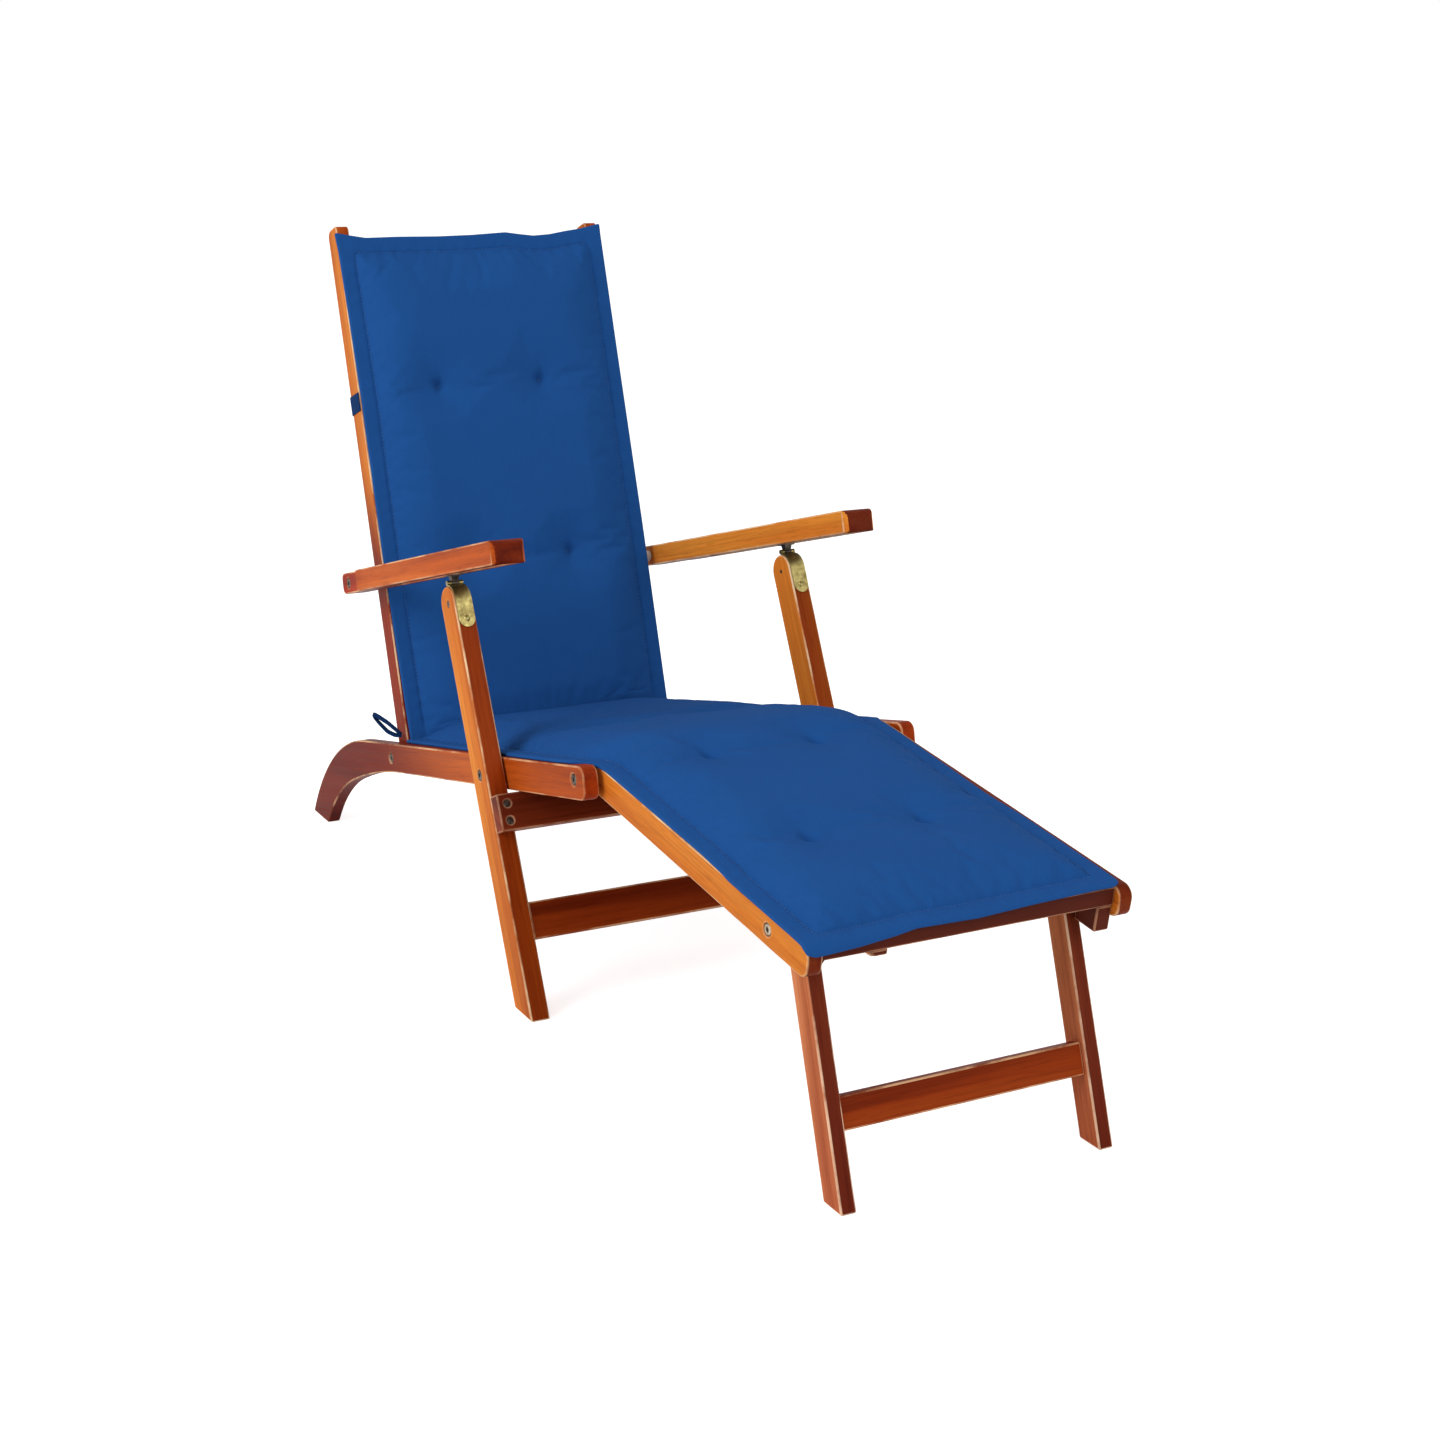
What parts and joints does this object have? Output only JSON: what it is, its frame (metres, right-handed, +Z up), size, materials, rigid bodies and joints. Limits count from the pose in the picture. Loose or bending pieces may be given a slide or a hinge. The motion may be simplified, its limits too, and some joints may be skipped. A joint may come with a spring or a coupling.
{
  "type": "reclining deck lounge chair",
  "caption": "Folding wooden lounge chair with a slatted reclining back, armrests on ratchet hooks, a hinged footrest on its own folding legs and a tufted blue cushion.",
  "frame": {"origin": "on the floor, under the middle of the chair's length and width", "axes": "+X across the chair to the right as seen from the footrest, +Y from the footrest towards the back, +Z up"},
  "size_m": [0.6, 1.6064, 1.0085],
  "materials": {
    "wood": "oiled hardwood, satin, orange brown",
    "dark_wood": "oiled hardwood, satin, red brown",
    "steel": "dull plated",
    "brass": "tarnished",
    "nylon": "pale nylon",
    "cushion": "plain blue woven cover",
    "strap": "blue elastic band"
  },
  "bodies": {
    "seat_frame": {"seat_rail_left": "wood", "seat_rail_right": "wood", "seat_front_rail": "wood", "seat_rear_rail": "wood", "seat_slat_1": "wood", "seat_slat_2": "wood", "seat_slat_3": "wood", "seat_slat_4": "wood", "seat_slat_5": "wood", "seat_cushion": "cushion", "front_leg_bolts": "steel", "backrest_bolts": "steel", "footrest_bolts": "steel"},
    "backrest": {"back_stile_left": "wood", "back_stile_right": "wood", "back_top_rail": "wood", "back_lower_rail": "wood", "back_slat_1": "wood", "back_slat_2": "wood", "back_slat_3": "wood", "back_slat_4": "wood", "back_slat_5": "wood", "back_cushion": "cushion", "cushion_strap": "strap", "arm_bolts": "steel", "arm_spacers": "nylon"},
    "armrest_body_left": {"armrest_left": "wood", "arm_track_left": "steel"},
    "armrest_body_right": {"armrest_right": "wood", "arm_track_right": "steel"},
    "front_legs": {"front_leg_left": "wood", "front_leg_right": "wood", "front_crossbar": "dark_wood", "lower_stretcher": "wood", "front_leg_screws": "steel", "front_leg_washers": "steel", "arm_hinge_left": "brass", "arm_hinge_right": "brass", "arm_hinge_screws": "brass"},
    "hook_body_left": {"arm_hook_left": "steel"},
    "hook_body_right": {"arm_hook_right": "steel"},
    "footrest": {"footrest_rail_left": "wood", "footrest_rail_right": "wood", "footrest_front_rail": "dark_wood", "footrest_rear_rail": "wood", "footrest_slat_1": "wood", "footrest_slat_2": "wood", "footrest_slat_3": "wood", "footrest_slat_4": "wood", "footrest_slat_5": "wood", "footrest_cushion": "cushion", "leg_stop_block": "dark_wood", "front_rail_catch": "dark_wood", "footrest_leg_bolts": "steel", "footrest_spacers": "nylon"},
    "footrest_legs": {"footrest_leg_left": "wood", "footrest_leg_right": "wood", "footrest_leg_stretcher": "wood"}
  },
  "joints": [
    {"name": "back_recline", "type": "hinge", "parent": "seat_frame", "child": "backrest", "pos_m": [0, 0.42231, 0.20289], "axis": [-1, 0, 0], "range_deg": [0, 24]},
    {"name": "arm_swing_left", "type": "hinge", "parent": "backrest", "child": "armrest_body_left", "pos_m": [-0.268, 0.51923, 0.46771], "axis": [-1, 0, 0], "range_deg": [-21, 1]},
    {"name": "arm_swing_right", "type": "hinge", "parent": "backrest", "child": "armrest_body_right", "pos_m": [0.268, 0.51923, 0.46771], "axis": [-1, 0, 0], "range_deg": [-21, 1]},
    {"name": "front_leg_fold", "type": "hinge", "parent": "seat_frame", "child": "front_legs", "pos_m": [0, -0.00171, 0.3], "axis": [1, 0, 0], "range_deg": [0, 96]},
    {"name": "hook_tilt_left", "type": "hinge", "parent": "front_legs", "child": "hook_body_left", "pos_m": [-0.273, 0.11507, 0.54899], "axis": [-1, 0, 0], "range_deg": [-0.5, 5]},
    {"name": "hook_tilt_right", "type": "hinge", "parent": "front_legs", "child": "hook_body_right", "pos_m": [0.273, 0.11507, 0.54899], "axis": [-1, 0, 0], "range_deg": [-0.5, 5]},
    {"name": "footrest_lift", "type": "hinge", "parent": "seat_frame", "child": "footrest", "pos_m": [0, -0.23671, 0.35793], "axis": [-1, 0, 0], "range_deg": [0, 45]},
    {"name": "footrest_leg_fold", "type": "hinge", "parent": "footrest", "child": "footrest_legs", "pos_m": [0, -0.67749, 0.30458], "axis": [1, 0, 0], "range_deg": [0, 115]}
  ],
  "couplings": [
    {"joint": "arm_swing_left", "follows": "back_recline", "ratio": -0.845},
    {"joint": "arm_swing_right", "follows": "back_recline", "ratio": -0.845},
    {"joint": "hook_tilt_left", "follows": "back_recline", "ratio": 0.155},
    {"joint": "hook_tilt_right", "follows": "back_recline", "ratio": 0.155}
  ]
}
